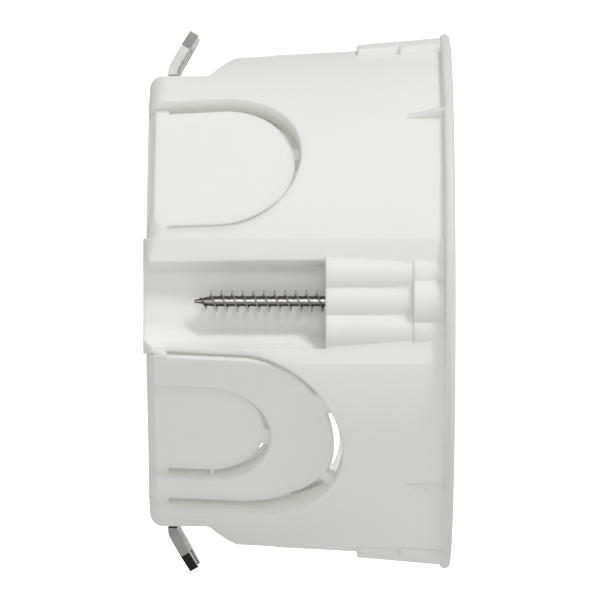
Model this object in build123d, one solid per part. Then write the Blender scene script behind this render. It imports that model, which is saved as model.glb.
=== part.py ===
from build123d import *
import math
import os

# Flush mounting box for hollow walls: one moulded shell, two device screws, two spreading
# claws, each with its long screw and square nut.
#
# Frame: the origin is on the barrel's axis, in the plane where the flange seats on the wall.
# +Y runs into the wall (towards the back of the box), the mouth faces -Y, +Z is up.
# The device screws are at +X and -X, the claws at +Z and -Z. Lengths along the axis are
# written as f, the distance behind the front face, and turned into Y by y_of().

# ---- driving dimensions (mm) -------------------------------------------------------------
FLANGE_T = 1.25          # flange thickness
FLANGE_R = 35.55         # flange radius
BACK_F = 39.6            # main back plane
DEPTH = 40.0             # over the two feet on the back
R_FRONT = 34.0           # barrel radius at the front face
TAPER = 0.0535           # draft: loss of radius per mm
WALL = 1.6               # barrel wall
BACK_IN_F = 38.0         # inner face of the back wall
BACK_FILLET = 2.7        # rounding round the back

STRIP_HALF = 8.07        # half width of the flat strip that carries the device screw
STRIP_LOW = 6.75         # its foot ends sooner on the lower side
STRIP_FILLET = 1.2       # rounding of its rear end
STRIP_X0 = 33.03         # distance of that flat from the axis at the front face
STRIP_TAPER = 0.0551

PAD_F1, PAD_F2 = 6.7, 12.3       # ends of the wide and the narrow part of the pads
PAD_HALF_WIDE, PAD_HALF_NARROW = 8.8, 8.0

SHELF_H = 29.52          # flat that the claw rests on
SHELF_CORNER = 1.7
RAMP = [(32.3, 29.52), (31.6, 29.75), (31.15, 30.1), (30.65, 30.57), (30.1, 30.97),
        (29.6, 31.35), (29.1, 31.73), (28.6, 32.03), (28.1, 32.28), (27.5, 32.5), (26.4, 32.62)]
RAMP_IN = [(38.0, 28.05), (32.0, 28.05), (31.2, 28.15), (30.6, 28.45), (29.9, 29.1),
           (28.9, 29.95), (27.8, 30.6), (26.8, 30.95), (25.5, 31.2)]

SCREW_X = 30.0           # device screws: 60 mm apart
BOSS_END_F = 16.6        # rear end of the three tubes
BOSS_HEAD_F = 5.35
BOSS_PITCH = 3.52        # tube spacing
BOSS_R = 3.08
BOSS_HEAD_MID_R, BOSS_HEAD_SIDE_R = 4.1, 3.25
BOSS_FACE_F = 3.0        # face that the screw head stops on
TROUGH_FLOOR_X = 28.1
DEVICE_HOLE_R = 1.50
DEVICE_R = 1.45
FREE_BORE_R = 1.25

TILT = 40.0              # knock-out panels: normal, turned from X towards Z
P_UP_BACK, P_UP_SLOPE = 29.65, 0.075     # floor distance at f 36.9, rise per mm forwards
P_LOW_BACK, P_LOW_SLOPE = 28.68, 0.065
RISE, RISE_F = 0.055, 22.0               # the large knock-out's floor rises in front of this f
INNER_STEP = 1.0         # the small knock-out is this much deeper than the large one
PANEL_T, PANEL_T_INNER = 1.1, 1.0
BACK_STEP = 1.25         # drop of the steep step at the back of each panel
SLOT_CLAW = 0.87         # slot width on the claw's side
SLOT_BACK_F = 36.9
#          v low, v high, apex f
U_UP = (-12.47, 7.78, 19.7)
U_LOW = (-14.9, 10.4, 14.36)
U_INNER = (-9.76, 6.06, 23.6)

CLAW_SCREW_H = 24.2      # height of the claw screw above the axis
CLAW_SCREW_R = 1.75
CLAW_HOLE_R = 1.80
CLAW_BOSS_F1, CLAW_BOSS_F2 = 3.4, 12.55
CLAW_T = 1.2
CLAW_HALF = 10.4
NECK_HALF = 3.5
LIFT, TRAVEL = 3.6, 10.0

os.makedirs("parts", exist_ok=True)


def y_of(f):
    return f - FLANGE_T


def barrel_r(f):
    return R_FRONT - TAPER * f


def p_up(f):
    return P_UP_BACK + P_UP_SLOPE * (36.9 - f)


def p_low(f):
    return P_LOW_BACK + P_LOW_SLOPE * (36.9 - f)


def face_of(points, radii=None):
    """Flat face from corner points; radii maps a point's index to its rounding."""
    face = make_face(Polyline(*points, close=True).edges())
    for index, radius in (radii or {}).items():
        target = Vector(*points[index])
        vertex = min(face.vertices(), key=lambda v: (Vector(v.X, v.Y, v.Z) - target).length)
        face = fillet([vertex], radius)
    return face


def turned(points, radii=None):
    """Solid of revolution about Y from (radius, f) points."""
    pts = [(r, y_of(f)) for r, f in points]
    return revolve(face_of(pts, radii), Axis.Y, 360)


def block(x1, x2, f1, f2, z1, z2):
    return Pos((x1 + x2) / 2, (y_of(f1) + y_of(f2)) / 2, (z1 + z2) / 2) * Box(
        abs(x2 - x1), abs(f2 - f1), abs(z2 - z1))


def rod(x, z, r, f1, f2):
    """Cylinder along Y."""
    return Pos(x, (y_of(f1) + y_of(f2)) / 2, z) * Rot(90, 0, 0) * Cylinder(r, abs(f2 - f1))


def solid_of(shape):
    found = shape.solids()
    return max(found, key=lambda s: s.volume)


# planes of the knock-out panel in the +X +Z quarter: local x is Y, local y is v or the distance
_c, _s = math.cos(math.radians(TILT)), math.sin(math.radians(TILT))
panel_plane = Plane(origin=(0, 0, 0), x_dir=(0, 1, 0), z_dir=(_c, 0, _s))
depth_plane = Plane(origin=(0, 0, 0), x_dir=(0, 1, 0), z_dir=(_s, 0, -_c))
side_plane = Plane(origin=(0, 0, 0), x_dir=(0, 1, 0), z_dir=(1, 0, 0))      # local x Y, y Z


def u_face(u, grow=0.0, back_f=44.0):
    """U outline: straight sides towards the back, half circle at the front."""
    lo, hi, apex = u[0] - grow, u[1] + grow, u[2] - grow
    mid, rad = (lo + hi) / 2, (hi - lo) / 2
    fc = apex + rad
    edges = [Line((y_of(back_f), lo), (y_of(fc), lo)),
             ThreePointArc((y_of(fc), lo), (y_of(apex), mid), (y_of(fc), hi)),
             Line((y_of(fc), hi), (y_of(back_f), hi)),
             Line((y_of(back_f), hi), (y_of(back_f), lo))]
    return make_face([e.edge() for e in edges])


def u_prism(u, grow=0.0, low=18.0, high=42.0, back_f=44.0):
    return extrude(panel_plane.offset(low) * u_face(u, grow, back_f), high - low,
                   dir=panel_plane.z_dir)


def above(points, half=24.0, rise=None):
    """Everything outside a floor line given as (f, distance) points. With rise, the line starts
    with the large knock-out's floor, which curves up to the barrel at its front."""
    pts = [(y_of(f), d) for f, d in points]
    if rise is None:
        pts += [(pts[-1][0], 48.0), (pts[0][0], 48.0)]
        return extrude(depth_plane * face_of(pts), half, both=True)
    curve = [(f, p_low(f) + RISE * (RISE_F - f) ** 2 + rise) for f in
             (12.0, 14.0, 16.0, 18.0, 20.0, RISE_F)]
    edges = [Spline([(y_of(f), d) for f, d in curve]).edge()]
    line = [(y_of(curve[-1][0]), curve[-1][1])] + pts
    line += [(line[-1][0], 48.0), (y_of(curve[0][0]), 48.0), (y_of(curve[0][0]), curve[0][1])]
    edges += [Line(a, b).edge() for a, b in zip(line, line[1:])]
    return extrude(depth_plane * make_face(edges), half, both=True)


def wedge(u, a1, a2):
    """Sector of a U's half circle from angle a1 to a2 (degrees from the apex towards +v)."""
    mid, rad = (u[0] + u[1]) / 2, (u[1] - u[0]) / 2
    fc = u[2] + rad
    pts = [(y_of(fc), mid)]
    for a in (a1, (a1 + a2) / 2, a2):
        pts.append((y_of(fc - 1.4 * rad * math.cos(math.radians(a))),
                    mid + 1.4 * rad * math.sin(math.radians(a))))
    return face_of(pts)


def slot(u, low, front, strip, bridges=(), straight=(), high=34.0):
    """U-shaped slot just inside the outline, widest at its front and on the claw's side."""
    lo, hi = u[0] + strip, u[1] - SLOT_CLAW
    ring = u_face(u, 0.0, SLOT_BACK_F) - u_face((lo, hi, u[2] + front), 0.0, SLOT_BACK_F + 2.0)
    for a1, a2 in bridges:
        ring = ring - wedge(u, a1, a2)
    for f1, f2, v1, v2 in straight:
        ring = ring - face_of([(y_of(f1), v1), (y_of(f2), v1), (y_of(f2), v2), (y_of(f1), v2)])
    out = None
    for face in ring.faces():
        piece = extrude(panel_plane.offset(low) * face, high - low, dir=panel_plane.z_dir)
        out = piece if out is None else out + piece
    return out


def quarters(shape, upper):
    """The same feature at +X and -X, in the upper or the lower half."""
    base = shape if upper else mirror(shape, Plane.XY)
    return [base, mirror(base, Plane.YZ)]


# ---- outside of the shell ----------------------------------------------------------------
barrel = turned([(0, 0), (FLANGE_R, 0), (FLANGE_R, FLANGE_T), (barrel_r(FLANGE_T), FLANGE_T),
                 (barrel_r(BACK_F), BACK_F), (0, BACK_F)],
                {1: 0.55, 2: 0.5, 3: 0.4, 4: BACK_FILLET})
feet_body = turned([(0, 20.0), (barrel_r(20.0), 20.0), (barrel_r(DEPTH), DEPTH), (0, DEPTH)],
                   {2: BACK_FILLET})
outer = barrel
for s in (1, -1):
    outer = outer + (feet_body & block(s * 22.0, s * 40.0, 30.0, 41.0, -STRIP_LOW, STRIP_HALF))

# flats of the two strips, rounded off at the back
for s in (1, -1):
    x_front, x_back = STRIP_X0 - STRIP_TAPER * FLANGE_T, STRIP_X0 - STRIP_TAPER * DEPTH
    keep = face_of([(s * 20.0, y_of(FLANGE_T)), (s * x_front, y_of(FLANGE_T)),
                    (s * x_back, y_of(DEPTH)), (s * 20.0, y_of(DEPTH))], {2: STRIP_FILLET})
    keep = extrude(keep, 10.0, both=True)
    outside = block(s * 28.0, s * 40.0, FLANGE_T, 42.0, -8.6, 8.6) - keep
    # the large knock-out's panel ends the flat on the lower side
    outer = outer - (outside - quarters(u_prism(U_LOW), False)[0 if s == 1 else 1])

# the three tubes of each screw boss, thicker under the flange
for s in (1, -1):
    for i, head_r in ((-1, BOSS_HEAD_SIDE_R), (0, BOSS_HEAD_MID_R), (1, BOSS_HEAD_SIDE_R)):
        z = i * BOSS_PITCH
        outer = outer + (rod(s * SCREW_X, z, BOSS_R, FLANGE_T - 0.2, BOSS_END_F)
                         & block(s * 27.0, s * 40.0, 0, 30, -12, 12))
        outer = outer + (rod(s * SCREW_X, z, head_r, FLANGE_T - 0.2, BOSS_HEAD_F)
                         & block(s * 27.0, s * 40.0, 0, 30, -12, 12))

# pads that sit in the board, at top and bottom
pad_cone = turned([(30.0, 1.0), (35.10, 1.0), (34.11, PAD_F2), (30.0, PAD_F2)], {2: 0.35})
for s in (1, -1):
    outer = outer + (pad_cone & block(-PAD_HALF_WIDE, PAD_HALF_WIDE, 0.5, PAD_F1, s * 25, s * 40))
    outer = outer + (pad_cone & block(-PAD_HALF_NARROW, PAD_HALF_NARROW, 0.5, 14, s * 25, s * 40))

# small gussets under the flange on the diagonals
gusset = extrude(Plane.XY * face_of([(32.8, y_of(1.0)), (35.25, y_of(1.0)), (35.25, y_of(1.25)),
                                     (33.72, y_of(6.0)), (32.8, y_of(6.0))]), 0.3, both=True)
for a in (45, 135, 225, 315):
    outer = outer + Rot(0, a, 0) * gusset

# shelves and ramps for the claws
ramp_edges = [Spline([(y_of(f), h) for f, h in RAMP], tangents=[(-1, 0), (-1, 0.06)]).edge()]
corner_c = (y_of(BACK_F - SHELF_CORNER), SHELF_H - SHELF_CORNER)
a45 = SHELF_CORNER * math.sqrt(0.5)
ramp_edges += [
    Line((y_of(RAMP[-1][0]), RAMP[-1][1]), (y_of(RAMP[-1][0]), 42.0)).edge(),
    Line((y_of(RAMP[-1][0]), 42.0), (y_of(44.0), 42.0)).edge(),
    Line((y_of(44.0), 42.0), (y_of(44.0), corner_c[1])).edge(),
    Line((y_of(44.0), corner_c[1]), (y_of(BACK_F), corner_c[1])).edge(),
    ThreePointArc((y_of(BACK_F), corner_c[1]), (corner_c[0] + a45, corner_c[1] + a45),
                  (corner_c[0], SHELF_H)).edge(),
    Line((corner_c[0], SHELF_H), (y_of(RAMP[0][0]), SHELF_H)).edge(),
]
ramp_cut = extrude(side_plane * make_face(ramp_edges), 24.0, both=True)
outer = outer - ramp_cut - mirror(ramp_cut, Plane.XY)

# pockets of the knock-outs
pocket_up = u_prism(U_UP) & above(
    [(15.0, p_up(15.0)), (38.6, p_up(38.6)), (39.35, p_up(38.6) - BACK_STEP), (44.0, p_up(38.6) - BACK_STEP)])
pocket_low = u_prism(U_LOW) & above(
    [(38.6, p_low(38.6)), (39.35, p_low(38.6) - BACK_STEP), (44.0, p_low(38.6) - BACK_STEP)], rise=0.0)
pocket_inner = u_prism(U_INNER) & above(
    [(15.0, p_low(15.0) - INNER_STEP), (38.6, p_low(38.6) - INNER_STEP),
     (39.35, p_low(38.6) - INNER_STEP - BACK_STEP), (44.0, p_low(38.6) - INNER_STEP - BACK_STEP)])
for shape in (quarters(pocket_up, True) + quarters(pocket_low, False)
              + quarters(pocket_inner, False)):
    outer = outer - shape
# the large knock-out's panel stays flat up to its slot beside the strip
panel_edge = (u_prism(U_LOW, 0.0, 27.3, 34.0, 39.4) - pocket_low) & block(
    24.0, 40.0, 18.0, 39.4, 6.85, 9.6)
for shape in quarters(panel_edge, False):
    outer = outer + shape

# troughs behind the bosses, open at the back: steep on the upper side, sloping on the lower
for s in (1, -1):
    section = face_of([(s * TROUGH_FLOOR_X, -3.9), (s * 31.2, -6.05), (s * 40.0, -6.3),
                       (s * 40.0, 5.35), (s * 31.6, 5.2), (s * TROUGH_FLOOR_X, 4.0)],
                      {0: 2.0, 5: 0.9})
    trough = extrude(Plane(origin=(0, y_of(BOSS_END_F), 0), x_dir=(1, 0, 0), z_dir=(0, -1, 0))
                     * section, 30.0, dir=(0, 1, 0))
    outer = outer - trough

# ---- hollow ------------------------------------------------------------------------------
cavity = turned([(0, -1.0), (barrel_r(-1.0) - WALL, -1.0),
                 (barrel_r(BACK_IN_F) - WALL, BACK_IN_F), (0, BACK_IN_F)], {2: 1.5})
x_in = [(STRIP_X0 - 1.5 - STRIP_TAPER * f, y_of(f)) for f in (-2.0, 42.0)]
cavity = cavity & extrude(face_of([x_in[0], x_in[1], (-x_in[1][0], x_in[1][1]),
                                   (-x_in[0][0], x_in[0][1])]), 45.0, both=True)
roof = [(y_of(f), h) for f, h in RAMP_IN] + [(y_of(25.5), 45.0), (y_of(41.0), 45.0),
                                             (y_of(41.0), 28.05)]
roof_solid = extrude(side_plane * face_of(roof), 45.0, both=True)
cavity = cavity - roof_solid - mirror(roof_solid, Plane.XY)

wall_up = u_prism(U_UP, PANEL_T) & above(
    [(10.0, p_up(10.0) - PANEL_T), (42.0, p_up(42.0) - PANEL_T)])
wall_low = u_prism(U_LOW, PANEL_T) & above([(42.0, p_low(42.0) - PANEL_T)], rise=-PANEL_T)
wall_inner = u_prism(U_INNER, PANEL_T_INNER) & above(
    [(10.0, p_low(10.0) - INNER_STEP - PANEL_T_INNER),
     (42.0, p_low(42.0) - INNER_STEP - PANEL_T_INNER)])
for shape in (quarters(wall_up, True) + quarters(wall_low, False)
              + quarters(wall_inner, False)):
    cavity = cavity - shape
for s in (1, -1):
    cavity = cavity - block(s * 26.0, s * 40.0, BOSS_FACE_F, 41.0, -6.2, 6.2)
    cavity = cavity - rod(0, s * CLAW_SCREW_H, 4.4, CLAW_BOSS_F1, CLAW_BOSS_F2)
    cavity = cavity - block(-4.4, 4.4, CLAW_BOSS_F1, CLAW_BOSS_F2,
                            s * CLAW_SCREW_H, s * 40.0)

shell = outer - cavity

# holes
for s in (1, -1):
    shell = shell - rod(s * SCREW_X, 0, DEVICE_HOLE_R, BOSS_FACE_F - 1.0, BOSS_END_F + 1.0)
    shell = shell - rod(s * SCREW_X, 0, 3.05, -1.0, BOSS_FACE_F)
    for i in (-1, 1):
        shell = shell - rod(s * SCREW_X, i * BOSS_PITCH, FREE_BORE_R, -1.0, BOSS_END_F + 1.0)
    shell = shell - rod(0, s * CLAW_SCREW_H, CLAW_HOLE_R, CLAW_BOSS_F1 - 1.0, CLAW_BOSS_F2 + 1.0)
    # slot that the claw's neck travels in
    shell = shell - block(-NECK_HALF - 0.3, NECK_HALF + 0.3, 23.1, 37.6, s * 20.0, s * 42.0)

# slots round the knock-outs, with their bridges
slot_up = slot(U_UP, 27.2, 0.75, 0.16, bridges=[(1.4, 12.9)])
slot_low = slot(U_LOW, 26.9, 1.1, 0.30, bridges=[(-41.0, -28.0), (23.0, 32.0)])
slot_inner = slot(U_INNER, 25.8, 0.85, 0.18, bridges=[(-3.5, 16.5)], straight=[(31.0, 31.5, 4.0, 8.0)])
for shape in (quarters(slot_up, True) + quarters(slot_low, False) + quarters(slot_inner, False)):
    shell = shell - shape

shell = solid_of(shell)
export_step(shell, "parts/box_shell.step")

# ---- device screws: pan head, shank at the thread's outside diameter, blunt point --------


def device_screw(s):
    turned_body = revolve(face_of([
        (0, y_of(0.75)), (2.1, y_of(0.75)), (2.75, y_of(1.75)), (2.8, y_of(2.95)),
        (DEVICE_R, y_of(2.95)), (DEVICE_R, y_of(30.8)), (0.35, y_of(33.4)), (0, y_of(33.4))],
        {2: 0.4}), Axis.Y, 360)
    slot_cut = Pos(0, y_of(0.75), 0) * (Box(4.2, 2.4, 0.8) + Box(0.8, 2.4, 4.2))
    return Pos(s * SCREW_X, 0, 0) * (turned_body - slot_cut)


export_step(solid_of(device_screw(-1)), "parts/device_screw_left.step")
export_step(solid_of(device_screw(1)), "parts/device_screw_right.step")

# ---- claws -------------------------------------------------------------------------------
centre_line = [(34.1, 17.2), (34.1, 27.75), (36.6, 29.3), (36.6, 30.5), (33.8, 35.4)]


def offset_path(points, radii, t):
    """Closed outline of a strip of thickness t along a bent line, with rounded bends."""
    def unit(a, b):
        dx, dy = b[0] - a[0], b[1] - a[1]
        n = math.hypot(dx, dy)
        return dx / n, dy / n
    sides = []
    for sign in (1, -1):
        items = []
        n = len(points)
        for i, p in enumerate(points):
            if i == 0 or i == n - 1:
                u = unit(points[0], points[1]) if i == 0 else unit(points[-2], points[-1])
                items.append(("p", (p[0] - sign * u[1] * t / 2, p[1] + sign * u[0] * t / 2)))
                continue
            u, w = unit(points[i - 1], p), unit(p, points[i + 1])
            cross = u[0] * w[1] - u[1] * w[0]
            turn = math.atan2(cross, u[0] * w[0] + u[1] * w[1])
            rad = radii[i]
            back = rad * math.tan(abs(turn) / 2)
            side = 1 if turn > 0 else -1
            a = (p[0] - u[0] * back, p[1] - u[1] * back)
            c = (a[0] - side * u[1] * rad, a[1] + side * u[0] * rad)
            r_here = rad - sign * side * t / 2
            a0 = math.atan2(a[1] - c[1], a[0] - c[0])
            out = [(c[0] + r_here * math.cos(a0 + turn * k / 2),
                    c[1] + r_here * math.sin(a0 + turn * k / 2)) for k in range(3)]
            items.append(("a", out))
        sides.append(items)

    def edges_of(items):
        found, last = [], None
        for kind, value in items:
            first = value if kind == "p" else value[0]
            if last is not None:
                found.append(Line(last, first).edge())
            if kind == "a":
                found.append(ThreePointArc(*value).edge())
                last = value[2]
            else:
                last = value
        return found
    left, right = edges_of(sides[0]), edges_of(sides[1])
    caps = [Line(sides[0][0][1], sides[1][0][1]).edge(),
            Line(sides[0][-1][1], sides[1][-1][1]).edge()]
    return make_face(left + right + caps)


claw_side = offset_path([(y_of(f), h) for f, h in centre_line],
                        {1: 1.1, 2: 1.1, 3: 1.5}, CLAW_T)
claw_body = extrude(side_plane * claw_side, CLAW_HALF, both=True)
half_outline = [(NECK_HALF, 16.0), (NECK_HALF, 29.62), (CLAW_HALF - 0.2, 29.62),
                (CLAW_HALF, 29.82), (CLAW_HALF, 40.0), (3.9, 40.0), (3.9, 36.2), (2.9, 33.6),
                (2.3, 33.1)]
outline = half_outline + [(-x, z) for x, z in reversed(half_outline)]
front_cut = extrude(Plane.XZ * face_of(outline), 60.0, both=True)
claw = claw_body & front_cut
# slanted flanks of the teeth, square to the outer leg
leg = math.hypot(2.8, 4.9)
leg_plane = Plane(origin=(0, y_of(36.6), 30.5), x_dir=(1, 0, 0),
                  z_dir=(0, -4.9 / leg, -2.8 / leg))
flank = extrude(leg_plane * face_of([(CLAW_HALF + 0.01, 3.29), (7.3, 5.75), (7.3, 9.0),
                                     (14.0, 9.0), (14.0, 3.29)]), 3.0, both=True)
claw = claw - flank - mirror(flank, Plane.YZ)
# oblong hole: the screw stays at its height while the claw climbs
oblong_low, oblong_high = CLAW_SCREW_H - LIFT, CLAW_SCREW_H
claw = claw - block(-1.9, 1.9, 30.0, 35.6, oblong_low, oblong_high)
claw = claw - rod(0, oblong_low, 1.9, 30.0, 35.6) - rod(0, oblong_high, 1.9, 30.0, 35.6)
claw = solid_of(claw)
export_step(claw, "parts/claw_top.step")
export_step(mirror(claw, Plane.XY), "parts/claw_bottom.step")

# ---- claw screws and nuts ----------------------------------------------------------------


def claw_screw(s):
    body = revolve(face_of([
        (0, y_of(1.0)), (2.2, y_of(1.0)), (3.1, y_of(1.8)), (3.2, y_of(3.35)),
        (CLAW_SCREW_R, y_of(3.35)), (CLAW_SCREW_R, y_of(37.2)), (1.3, y_of(37.65)),
        (0, y_of(37.65))], {2: 0.4}), Axis.Y, 360)
    cut = Pos(0, y_of(1.0), 0) * (Box(4.4, 2.6, 0.9) + Box(0.9, 2.6, 4.4))
    return Pos(0, 0, s * CLAW_SCREW_H) * (body - cut)


def claw_nut(s):
    body = block(-3.0, 3.0, 34.75, 36.75, s * CLAW_SCREW_H - 3.0, s * CLAW_SCREW_H + 3.0)
    body = chamfer(body.edges().filter_by(Axis.Y), 0.35)
    return body - rod(0, s * CLAW_SCREW_H, CLAW_HOLE_R, 30, 40)


for s, name in ((1, "top"), (-1, "bottom")):
    export_step(solid_of(claw_screw(s)), f"parts/claw_screw_{name}.step")
    export_step(solid_of(claw_nut(s)), f"parts/claw_nut_{name}.step")
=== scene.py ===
import bpy
import bmesh
import math
from mathutils import Vector, Matrix


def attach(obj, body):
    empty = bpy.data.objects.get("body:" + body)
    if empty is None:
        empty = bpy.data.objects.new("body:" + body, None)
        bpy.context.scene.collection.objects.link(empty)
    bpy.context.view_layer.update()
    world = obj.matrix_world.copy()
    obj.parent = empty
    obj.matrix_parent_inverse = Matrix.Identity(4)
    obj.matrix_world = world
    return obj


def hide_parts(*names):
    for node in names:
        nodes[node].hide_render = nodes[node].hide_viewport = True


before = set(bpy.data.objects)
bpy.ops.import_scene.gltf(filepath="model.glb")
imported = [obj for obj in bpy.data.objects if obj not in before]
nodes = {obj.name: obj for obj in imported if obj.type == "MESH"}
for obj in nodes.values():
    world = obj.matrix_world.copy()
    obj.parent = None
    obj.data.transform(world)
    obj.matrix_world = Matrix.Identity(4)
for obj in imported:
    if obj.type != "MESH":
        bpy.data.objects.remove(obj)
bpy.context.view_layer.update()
scene = bpy.context.scene

FT = 1.25                      # flange thickness: f is counted from the front face, Y from its rear


def Y(f):
    return (f - FT) / 1000.0


# ---- camera: level with the barrel's axis, square to the side of the near screw boss ------
cam_data = bpy.data.cameras.new("camera")
cam_data.lens = 360.3
cam_data.sensor_fit = "HORIZONTAL"
cam_data.sensor_width = 36.0
cam_data.clip_start = 0.01
cam_data.clip_end = 50.0
cam = bpy.data.objects.new("camera", cam_data)
cam.location = (-0.800, 0.0186, 0.00015)
cam.rotation_euler = (math.radians(90), 0, math.radians(-90))
scene.collection.objects.link(cam)
scene.camera = cam

# ---- colour management and light ----------------------------------------------------------
scene.view_settings.view_transform = "Standard"
scene.view_settings.look = "None"
scene.view_settings.exposure = 0.0
scene.view_settings.gamma = 1.0
scene.cycles.diffuse_bounces = 8          # the recesses are lit mostly from their own walls

ENV = 0.41
world = bpy.data.worlds.new("studio")
scene.world = world
world.use_nodes = True
world.node_tree.nodes["Background"].inputs[0].default_value = (1.0, 1.0, 1.0, 1.0)
world.node_tree.nodes["Background"].inputs[1].default_value = ENV

key_data = bpy.data.lights.new("key", "SUN")
key_data.energy = 1.24
key_data.angle = math.radians(11)
key = bpy.data.objects.new("key", key_data)
key.rotation_euler = Vector((1.9, 1.42, -2.95)).to_track_quat("-Z", "Y").to_euler()
key.location = (-0.5, -0.3, 0.7)
scene.collection.objects.link(key)

glint_data = bpy.data.lights.new("glint", "SUN")      # small hot centre, for the highlights on metal
glint_data.energy = 0.28
glint_data.angle = math.radians(11)
glint = bpy.data.objects.new("glint", glint_data)
glint.rotation_euler = Vector((2.5, 0.25, -1.15)).to_track_quat("-Z", "Y").to_euler()
glint.location = (-0.6, -0.1, 0.3)
scene.collection.objects.link(glint)

fill_data = bpy.data.lights.new("fill", "SUN")        # broad soft light from beside the camera
fill_data.energy = 0.385
fill_data.angle = math.radians(55)
fill = bpy.data.objects.new("fill", fill_data)
fill.rotation_euler = Vector((1.0, 0.0, 0.22)).to_track_quat("-Z", "Y").to_euler()
fill.location = (-0.7, 0.0, -0.05)
scene.collection.objects.link(fill)

side_data = bpy.data.lights.new("side", "SUN")        # soft, from the mouth's side and a little below
side_data.energy = 0.08
side_data.angle = math.radians(40)
side = bpy.data.objects.new("side", side_data)
side.rotation_euler = Vector((0.60, 0.75, 0.30)).to_track_quat("-Z", "Y").to_euler()
side.location = (-0.4, -0.6, -0.05)
scene.collection.objects.link(side)


# ---- materials ----------------------------------------------------------------------------
def new_material(name):
    m = bpy.data.materials.new(name)
    m.use_nodes = True
    nt = m.node_tree
    nt.nodes.clear()
    out = nt.nodes.new("ShaderNodeOutputMaterial")
    bsdf = nt.nodes.new("ShaderNodeBsdfPrincipled")
    nt.links.new(bsdf.outputs[0], out.inputs[0])
    return m, nt, bsdf


def coords(nt):
    return nt.nodes.new("ShaderNodeTexCoord").outputs["Object"]


def noise(nt, vector, scale, detail=3.0, rough=0.55):
    n = nt.nodes.new("ShaderNodeTexNoise")
    n.inputs["Scale"].default_value = scale
    n.inputs["Detail"].default_value = detail
    n.inputs["Roughness"].default_value = rough
    nt.links.new(vector, n.inputs["Vector"])
    return n.outputs["Fac"]


def ramp(nt, fac, stops):
    r = nt.nodes.new("ShaderNodeValToRGB")
    e = r.color_ramp.elements
    while len(e) < len(stops):
        e.new(0.5)
    for i, (pos, col) in enumerate(stops):
        e[i].position = pos
        e[i].color = (*col, 1.0)
    nt.links.new(fac, r.inputs[0])
    return r.outputs[0]


def map_range(nt, fac, lo, hi, a, b):
    r = nt.nodes.new("ShaderNodeMapRange")
    for i, v in enumerate((lo, hi, a, b)):
        r.inputs[i + 1].default_value = v
    nt.links.new(fac, r.inputs[0])
    return r.outputs[0]


def bump(nt, height, strength, distance, normal=None):
    b = nt.nodes.new("ShaderNodeBump")
    b.inputs["Strength"].default_value = strength
    b.inputs["Distance"].default_value = distance
    nt.links.new(height, b.inputs["Height"])
    if normal is not None:
        nt.links.new(normal, b.inputs["Normal"])
    return b.outputs[0]


def edge_round(nt, radius):
    b = nt.nodes.new("ShaderNodeBevel")
    b.samples = 6
    b.inputs["Radius"].default_value = radius
    return b.outputs[0]


def moulding():
    """Light, faintly warm polypropylene with the fine satin texture of a spark-eroded mould; painted light lifts the
    trough's floor and painted shade darkens the flange.
    """
    m, nt, bsdf = new_material("moulding")
    co = coords(nt)
    flow = noise(nt, co, 38.0, 2.0)
    fine = noise(nt, co, 2600.0, 2.0)
    split = nt.nodes.new("ShaderNodeSeparateXYZ")
    nt.links.new(co, split.inputs[0])
    flange = map_range(nt, split.outputs[1], 0.0, -0.0006, 1.0, 0.84)     # painted shade: the flange is made a touch darker
    tone = nt.nodes.new("ShaderNodeVectorMath")
    tone.operation = "SCALE"
    nt.links.new(ramp(nt, flow, [(0.30, (0.903, 0.906, 0.872)), (0.70, (0.920, 0.923, 0.891))]), tone.inputs[0])
    depth = nt.nodes.new("ShaderNodeMath")
    depth.operation = "ABSOLUTE"
    nt.links.new(split.outputs[0], depth.inputs[0])
    across = nt.nodes.new("ShaderNodeMath")
    across.operation = "ABSOLUTE"
    nt.links.new(split.outputs[2], across.inputs[0])
    floor_in = nt.nodes.new("ShaderNodeMath")          # painted light: the trough's floor is made lighter, against the shade in the recess
    floor_in.operation = "MULTIPLY"
    nt.links.new(map_range(nt, depth.outputs[0], 0.0295, 0.0312, 1.0, 0.0), floor_in.inputs[0])
    nt.links.new(map_range(nt, across.outputs[0], 0.0052, 0.0066, 1.0, 0.0), floor_in.inputs[1])
    trough_painted_light = nt.nodes.new("ShaderNodeMath")
    trough_painted_light.operation = "MULTIPLY"
    nt.links.new(floor_in.outputs[0], trough_painted_light.inputs[0])
    nt.links.new(map_range(nt, depth.outputs[0], 0.0270, 0.0278, 0.0, 1.0), trough_painted_light.inputs[1])
    # painted light on the trough's floor, times painted shade on the flange, scales the base colour
    painted_light_and_shade = nt.nodes.new("ShaderNodeMath")
    painted_light_and_shade.operation = "MULTIPLY"
    nt.links.new(map_range(nt, trough_painted_light.outputs[0], 0.0, 1.0, 1.0, 1.065), painted_light_and_shade.inputs[0])
    nt.links.new(flange, painted_light_and_shade.inputs[1])
    nt.links.new(painted_light_and_shade.outputs[0], tone.inputs[3])
    nt.links.new(tone.outputs[0], bsdf.inputs["Base Color"])
    nt.links.new(map_range(nt, fine, 0.3, 0.7, 0.44, 0.56), bsdf.inputs["Roughness"])
    bsdf.inputs["IOR"].default_value = 1.49
    bsdf.inputs["Specular IOR Level"].default_value = 0.5
    bsdf.inputs["Subsurface Weight"].default_value = 0.8      # thin walls let some light through
    bsdf.inputs["Subsurface Radius"].default_value = (1.0, 1.0, 0.95)
    bsdf.inputs["Subsurface Scale"].default_value = 0.0013
    n1 = edge_round(nt, 0.00035)
    n2 = bump(nt, noise(nt, co, 60.0, 1.0), 0.08, 0.0004, n1)
    n3 = bump(nt, fine, 0.10, 0.00003, n2)
    nt.links.new(n3, bsdf.inputs["Normal"])
    return m


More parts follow.
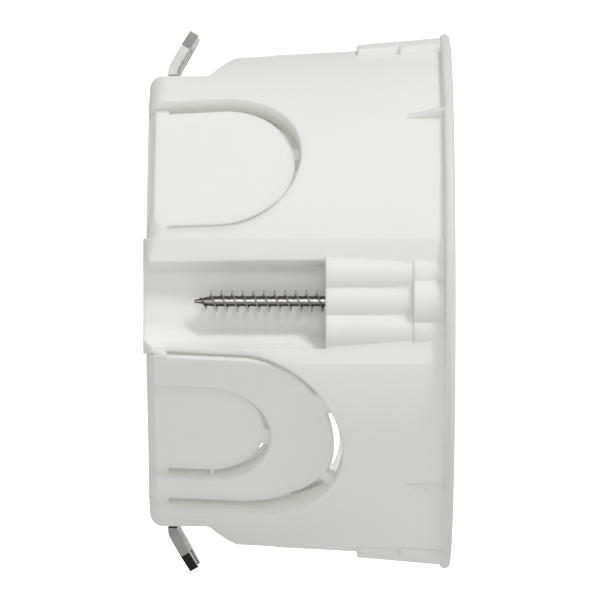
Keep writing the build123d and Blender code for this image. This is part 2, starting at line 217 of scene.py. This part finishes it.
def steel(name, dark, light, rough_lo, rough_hi, grain, stretch, edge=0.00010, bump_size=0.00002):
    """Bare or plated steel: drawn or rolled grain, with small changes of tone."""
    m, nt, bsdf = new_material(name)
    co = coords(nt)
    mapping = nt.nodes.new("ShaderNodeMapping")
    mapping.inputs["Scale"].default_value = stretch
    nt.links.new(co, mapping.inputs["Vector"])
    g = noise(nt, mapping.outputs[0], grain, 4.0, 0.6)
    blot = noise(nt, co, 420.0, 3.0)
    nt.links.new(ramp(nt, blot, [(0.30, dark), (0.72, light)]), bsdf.inputs["Base Color"])
    nt.links.new(map_range(nt, g, 0.3, 0.7, rough_lo, rough_hi), bsdf.inputs["Roughness"])
    bsdf.inputs["Metallic"].default_value = 1.0
    n1 = edge_round(nt, edge)
    nt.links.new(bump(nt, g, 0.25, bump_size, n1), bsdf.inputs["Normal"])
    return m


def claw_steel(name, band, flank, edge, shine):
    """Rolled strip, blanked: dull broad faces, tooth flanks and the sheared straight side edges, with painted light
    and shade set by which way each face points, the faces square to x lightest.
    """
    m = steel(name, (0.5, 0.5, 0.5), (1.0, 1.0, 1.0), 0.30, 0.44, 900.0, (0.35, 3.0, 1.0))
    nt = m.node_tree
    bsdf = next(n for n in nt.nodes if n.type == "BSDF_PRINCIPLED")
    coord = next(n for n in nt.nodes if n.type == "TEX_COORD")
    split = nt.nodes.new("ShaderNodeSeparateXYZ")
    nt.links.new(coord.outputs["Normal"], split.inputs[0])
    size = nt.nodes.new("ShaderNodeMath")
    size.operation = "ABSOLUTE"
    nt.links.new(split.outputs[0], size.inputs[0])
    # painted light and shade by |normal x|: broad faces darkest, tooth flanks between, faces square to x lightest
    facing_light_and_shade = ramp(nt, size.outputs[0], [(0.15, band), (0.30, flank), (0.88, flank), (0.96, edge)])
    blot = map_range(nt, noise(nt, coord.outputs["Object"], 700.0, 4.0), 0.3, 0.7, 0.88, 1.08)
    mul = nt.nodes.new("ShaderNodeVectorMath")
    mul.operation = "SCALE"
    nt.links.new(facing_light_and_shade, mul.inputs[0])
    nt.links.new(blot, mul.inputs[3])
    nt.links.new(mul.outputs[0], bsdf.inputs["Base Color"])
    nt.links.new(map_range(nt, size.outputs[0], 0.88, 0.96, 1.0, shine), bsdf.inputs["Metallic"])
    return m


def screw_steel():
    """Oxidised steel with painted reflection set by which way the surface faces: a painted highlight line along the
    core, brown-grey beside it, near-black towards top and bottom, and paler thin flights.
    """
    m = steel("screw_steel", (0.90, 0.90, 0.90), (1.0, 1.0, 1.0), 0.13, 0.19, 1500.0, (1.0, 1.0, 1.0))
    nt = m.node_tree
    bsdf = next(n for n in nt.nodes if n.type == "BSDF_PRINCIPLED")
    coord = next(n for n in nt.nodes if n.type == "TEX_COORD")

    def math_node(operation, first, second=None):
        n = nt.nodes.new("ShaderNodeMath")
        n.operation = operation
        nt.links.new(first, n.inputs[0])
        if second is not None:
            if isinstance(second, float):
                n.inputs[1].default_value = second
            else:
                nt.links.new(second, n.inputs[1])
        return n.outputs[0]

    def mix(fac, first, second):
        n = nt.nodes.new("ShaderNodeMix")
        n.data_type = "RGBA"
        nt.links.new(fac, n.inputs[0])
        if isinstance(first, tuple):
            n.inputs[6].default_value = (*first, 1.0)
        else:
            nt.links.new(first, n.inputs[6])
        nt.links.new(second, n.inputs[7])
        return n.outputs[2]

    normal = nt.nodes.new("ShaderNodeSeparateXYZ")
    nt.links.new(coord.outputs["Normal"], normal.inputs[0])
    place = nt.nodes.new("ShaderNodeSeparateXYZ")
    nt.links.new(coord.outputs["Object"], place.inputs[0])
    # painted reflection: colour follows the normal's z, a light line where the core faces sideways, brown-grey above
    # and below it, near-black at top and bottom
    height = map_range(nt, normal.outputs[2], -1.0, 1.0, 0.0, 1.0)
    painted_reflection = ramp(nt, height, [(0.16, (0.03, 0.029, 0.029)), (0.24, (0.26, 0.248, 0.242)), (0.38, (0.34, 0.326, 0.32)),
                              (0.44, (0.74, 0.73, 0.73)), (0.58, (0.74, 0.73, 0.73)), (0.66, (0.24, 0.222, 0.214)),
                              (0.86, (0.14, 0.126, 0.122)), (0.94, (0.05, 0.047, 0.047))])
    along = map_range(nt, math_node("ABSOLUTE", normal.outputs[1]), 0.35, 0.60, 1.0, 0.0)
    core = mix(along, (0.12, 0.116, 0.116), painted_reflection)
    off = math_node("SUBTRACT", math_node("ABSOLUTE", place.outputs[0]), 0.030)
    radius = math_node("SQRT", math_node("ADD", math_node("MULTIPLY", off, off),
                                         math_node("MULTIPLY", place.outputs[2], place.outputs[2])))
    outer = map_range(nt, radius, 0.00074, 0.00090, 0.0, 1.0)
    pale = ramp(nt, noise(nt, coord.outputs["Object"], 1800.0, 3.0),
                [(0.30, (0.66, 0.65, 0.64)), (0.70, (0.76, 0.75, 0.74))])
    head = map_range(nt, place.outputs[1], 0.0013, 0.0017, 1.0, 0.0)
    plain = ramp(nt, noise(nt, coord.outputs["Object"], 420.0, 3.0),
                 [(0.30, (0.52, 0.51, 0.50)), (0.70, (0.64, 0.63, 0.62))])
    nt.links.new(mix(head, mix(outer, core, pale), plain), bsdf.inputs["Base Color"])
    flights = map_range(nt, radius, 0.00074, 0.00090, 1.0, 0.25)
    nt.links.new(math_node("MAXIMUM", flights, head), bsdf.inputs["Metallic"])
    return m


mat_shell = moulding()
# the upper claw gets the lit set of tones; the lower claw a painted-shade copy, darker throughout with near-black
# tooth flanks
mat_claw = claw_steel("claw_steel", (0.175, 0.170, 0.159), (0.63, 0.61, 0.58), (0.80, 0.795, 0.78), 0.45)
mat_claw_painted_shade = claw_steel("claw_steel_painted_shade", (0.12, 0.117, 0.110), (0.02, 0.02, 0.02), (0.36, 0.355, 0.34), 0.85)
mat_screw = screw_steel()
mat_spindle = steel("spindle_steel", (0.74, 0.74, 0.73), (0.90, 0.90, 0.89), 0.28, 0.40, 1300.0, (1.0, 1.0, 1.0))
spindle_nt = mat_spindle.node_tree                 # bright zinc head, milky zinc shank
spindle_split = spindle_nt.nodes.new("ShaderNodeSeparateXYZ")
spindle_nt.links.new(coords(spindle_nt), spindle_split.inputs[0])
spindle_nt.links.new(map_range(spindle_nt, spindle_split.outputs[1], Y(3.3), Y(4.0), 1.0, 0.3),
                     next(n for n in spindle_nt.nodes if n.type == "BSDF_PRINCIPLED").inputs["Metallic"])


def dress(obj, material):
    obj.data.materials.clear()
    obj.data.materials.append(material)
    for p in obj.data.polygons:
        p.material_index = 0


for name, material in (("box_shell", mat_shell), ("claw_top", mat_claw), ("claw_bottom", mat_claw_painted_shade),
                       ("claw_nut_top", mat_spindle), ("claw_nut_bottom", mat_spindle)):
    dress(nodes[name], material)


# ---- threaded screws ----------------------------------------------------------------------
def threaded(name, node, body, material, x, z, f_head_cut, f1, f2, core, outside, pitch,
             crest, flank, tip, root, phase, rows, around, sharp=1.6):
    """The node's own head, cut off just behind its face, with a true helical thread behind it.
    tip is a list of (f, largest radius) points that the thread's end tapers through, root the same
    for its core."""
    bm = bmesh.new()
    bm.from_mesh(nodes[node].data)
    geom = bm.verts[:] + bm.edges[:] + bm.faces[:]
    cut = bmesh.ops.bisect_plane(bm, geom=geom, plane_co=(0, Y(f_head_cut), 0), plane_no=(0, 1, 0),
                                 clear_outer=True, dist=1e-7)
    rim = [e for e in cut["geom_cut"] if isinstance(e, bmesh.types.BMEdge)]
    bmesh.ops.contextual_create(bm, geom=rim)
    count = max(2, int(round((f2 - f1) / pitch * rows)))
    rings = []
    for k in range(count + 1):
        f = f1 + (f2 - f1) * k / count
        limit = outside
        for (fa, ra), (fb, rb) in zip(tip, tip[1:]):
            if fa <= f <= fb:
                limit = ra + (rb - ra) * (f - fa) / (fb - fa)
        inner = core
        for (fa, ra), (fb, rb) in zip(root, root[1:]):
            if fa <= f <= fb:
                inner = ra + (rb - ra) * (f - fa) / (fb - fa)
        ring = []
        for j in range(around):
            a = 2 * math.pi * j / around
            ph = ((f - f1) / pitch + j / around + phase) % 1.0      # right-hand thread
            d = abs(ph - 0.5) * pitch
            t = min(1.0, max(0.0, 1.0 - (d - crest / 2) / flank))
            t = t ** sharp
            r = inner + (max(limit, inner) - inner) * t
            ring.append(bm.verts.new((x + r * math.cos(a) / 1000.0, Y(f), z + r * math.sin(a) / 1000.0)))
        rings.append(ring)
    for r1, r2 in zip(rings, rings[1:]):
        for j in range(around):
            q = (j + 1) % around
            bm.faces.new((r1[j], r1[q], r2[q], r2[j]))
    bm.faces.new(rings[0][::-1])
    bm.faces.new(rings[-1])
    bmesh.ops.recalc_face_normals(bm, faces=bm.faces[:])
    mesh = bpy.data.meshes.new(name)
    bm.to_mesh(mesh)
    bm.free()
    obj = bpy.data.objects.new(name, mesh)
    scene.collection.objects.link(obj)
    mesh.materials.append(material)
    for p in mesh.polygons:
        p.use_smooth = True
        p.material_index = 0
    mesh.set_sharp_from_angle(angle=math.radians(38))
    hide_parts(node)
    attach(obj, body)
    return obj


for side, sx in (("left", -1), ("right", 1)):
    threaded(f"device_screw_{side}_threaded", f"device_screw_{side}", f"screw_{side}",
             mat_screw, sx * 0.030, 0.0, 2.9, 2.8, 33.4, 0.66, 1.449, 1.36, 0.03, 0.07,
             [(2.8, 1.449), (31.6, 1.449), (32.4, 0.60), (33.4, 0.10)],
             [(2.8, 0.66), (31.12, 0.66), (32.30, 0.47), (32.38, 0.28), (32.46, 0.34), (33.4, 0.20)], 0.324, 52, 48)
for side, sz in (("top", 1), ("bottom", -1)):
    threaded(f"claw_screw_{side}_threaded", f"claw_screw_{side}", f"spindle_{side}",
             mat_spindle, 0.0, sz * 0.0242, 3.3, 3.2, 37.65, 1.38, 1.749, 0.6, 0.08, 0.25,
             [(3.2, 1.749), (37.2, 1.749), (37.65, 1.3)], [(37.2, 1.38), (37.65, 1.3)], 0.0, 10, 40)

# ---- floor and backdrop -------------------------------------------------------------------


def stage_mesh(name, verts, faces, material):
    mesh = bpy.data.meshes.new(name)
    mesh.from_pydata(verts, [], faces)
    obj = bpy.data.objects.new(name, mesh)
    scene.collection.objects.link(obj)
    mesh.materials.append(material)
    return obj


floor_mat, floor_nt, floor_bsdf = new_material("studio_floor")
floor_nt.links.new(ramp(floor_nt, noise(floor_nt, coords(floor_nt), 3.0),
                        [(0.30, (0.77, 0.77, 0.77)), (0.70, (0.80, 0.80, 0.80))]), floor_bsdf.inputs["Base Color"])
floor_bsdf.inputs["Roughness"].default_value = 0.9
stage_mesh("studio_floor", [(-3, -3, -0.075), (0.5, -3, -0.075), (0.5, 3, -0.075), (-3, 3, -0.075)],
           [(0, 1, 2, 3)], floor_mat)
back_mat, back_nt, back_bsdf = new_material("studio_backdrop")
back_nt.links.new(ramp(back_nt, noise(back_nt, coords(back_nt), 2.0),
                       [(0.30, (0.88, 0.88, 0.88)), (0.70, (0.92, 0.92, 0.92))]), back_bsdf.inputs["Base Color"])
back_bsdf.inputs["Roughness"].default_value = 0.9
back_bsdf.inputs["Emission Color"].default_value = (1.0, 1.0, 1.0, 1.0)
back_bsdf.inputs["Emission Strength"].default_value = 0.70
stage_mesh("studio_backdrop", [(1.6, -0.5, -0.6), (1.6, 0.5, -0.6), (1.6, 0.5, 0.6), (1.6, -0.5, 0.6)],
           [(0, 1, 2, 3)], back_mat)
